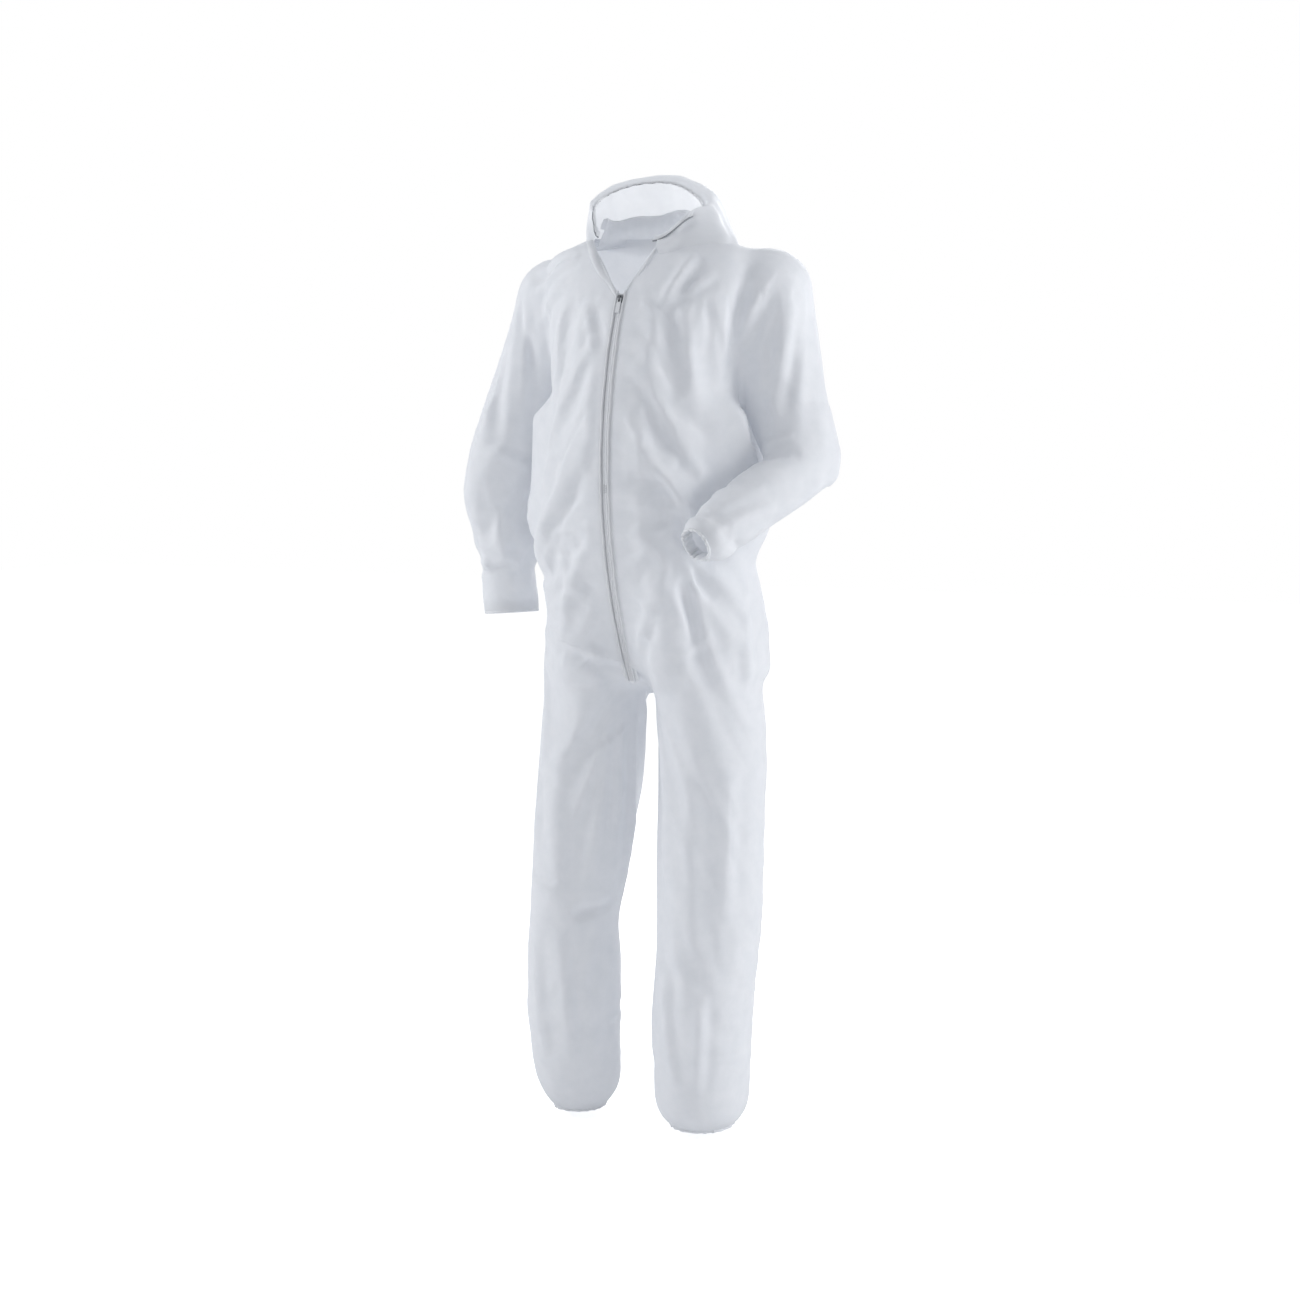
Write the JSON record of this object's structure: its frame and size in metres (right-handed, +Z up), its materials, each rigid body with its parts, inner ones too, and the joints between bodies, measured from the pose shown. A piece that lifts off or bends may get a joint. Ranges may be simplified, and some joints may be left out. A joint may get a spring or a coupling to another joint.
{
  "type": "chemical protective suit",
  "caption": "Hooded one-piece disposable coverall of white nonwoven cloth, with a front zip and elastic at the hood, wrists, ankles and back waist.",
  "frame": {"origin": "centre of the neck opening, level with the shoulder line, where the wearer or a hanger carries the suit", "axes": "+Z up, the suit's front faces -Y, +X is the wearer's left"},
  "size_m": [0.6481, 0.314, 1.5002],
  "materials": {
    "nonwoven_cloth": "matt, slightly translucent spunbond nonwoven",
    "seam_cloth": "matt, folded and stitched nonwoven",
    "elastic": "ribbed elastic band",
    "zip_nylon": "satin nylon coil",
    "zip_metal": "satin grey"
  },
  "bodies": {
    "trunk": {"front_panel_left": "nonwoven_cloth", "front_panel_right": "nonwoven_cloth", "back_panel_left": "nonwoven_cloth", "back_panel_right": "nonwoven_cloth", "crotch_seam": "seam_cloth", "waist_elastic": "elastic", "collar_left": "nonwoven_cloth", "collar_right": "nonwoven_cloth", "zip_tape_left": "seam_cloth", "zip_tape_right": "seam_cloth", "zip_coil_left": "zip_nylon", "zip_coil_right": "zip_nylon", "zip_bottom_stop": "zip_metal"},
    "hood": {"hood_left": "nonwoven_cloth", "hood_right": "nonwoven_cloth", "hood_elastic": "elastic"},
    "upper_arm_left": {"upper_sleeve_left": "nonwoven_cloth"},
    "upper_arm_right": {"upper_sleeve_right": "nonwoven_cloth"},
    "forearm_left": {"lower_sleeve_left": "nonwoven_cloth", "wrist_hem_left": "seam_cloth", "wrist_elastic_left": "elastic"},
    "forearm_right": {"lower_sleeve_right": "nonwoven_cloth", "wrist_hem_right": "seam_cloth", "wrist_elastic_right": "elastic"},
    "upper_leg_left": {"thigh_left": "nonwoven_cloth"},
    "upper_leg_right": {"thigh_right": "nonwoven_cloth"},
    "lower_leg_left": {"shin_left": "nonwoven_cloth", "ankle_hem_left": "seam_cloth", "ankle_elastic_left": "elastic"},
    "lower_leg_right": {"shin_right": "nonwoven_cloth", "ankle_hem_right": "seam_cloth", "ankle_elastic_right": "elastic"},
    "slider": {"zip_slider": "zip_metal"},
    "pull_tab": {"zip_pull_tab": "zip_metal"}
  },
  "joints": [
    {"name": "hood_tilt", "type": "hinge", "parent": "trunk", "child": "hood", "pos_m": [0, 0.075, 0], "axis": [-1, 0, 0], "range_deg": [0, 35]},
    {"name": "shoulder_left", "type": "hinge", "parent": "trunk", "child": "upper_arm_left", "pos_m": [0.183, 0.05, -0.09], "axis": [0, -1, 0], "range_deg": [0, 60]},
    {"name": "shoulder_right", "type": "hinge", "parent": "trunk", "child": "upper_arm_right", "pos_m": [-0.183, 0.05, -0.09], "axis": [0, 1, 0], "range_deg": [0, 60]},
    {"name": "elbow_left", "type": "hinge", "parent": "upper_arm_left", "child": "forearm_left", "pos_m": [0.258, 0.04, -0.342], "axis": [-0.8315, 0.4873, -0.2668], "range_deg": [-68, 0]},
    {"name": "elbow_right", "type": "hinge", "parent": "upper_arm_right", "child": "forearm_right", "pos_m": [-0.276, 0.008, -0.345], "axis": [-1, 0, 0], "range_deg": [0, 80]},
    {"name": "hip_left", "type": "hinge", "parent": "trunk", "child": "upper_leg_left", "pos_m": [0.107, 0.004, -0.69], "axis": [-1, 0, 0], "range_deg": [0, 38]},
    {"name": "hip_right", "type": "hinge", "parent": "trunk", "child": "upper_leg_right", "pos_m": [-0.107, 0.004, -0.69], "axis": [-1, 0, 0], "range_deg": [0, 38]},
    {"name": "knee_left", "type": "hinge", "parent": "upper_leg_left", "child": "lower_leg_left", "pos_m": [0.118, -0.036, -1.045], "axis": [1, 0, 0], "range_deg": [0, 75]},
    {"name": "knee_right", "type": "hinge", "parent": "upper_leg_right", "child": "lower_leg_right", "pos_m": [-0.118, -0.036, -1.045], "axis": [1, 0, 0], "range_deg": [0, 75]},
    {"name": "zip_travel", "type": "hinge", "parent": "trunk", "child": "slider", "pos_m": [0, 0.53871, -0.34487], "axis": [1, 0, 0], "range_deg": [0, 50]},
    {"name": "tab_swing", "type": "hinge", "parent": "slider", "child": "pull_tab", "pos_m": [0, -0.09971, -0.08319], "axis": [-1, 0, 0], "range_deg": [0, 120]}
  ]
}
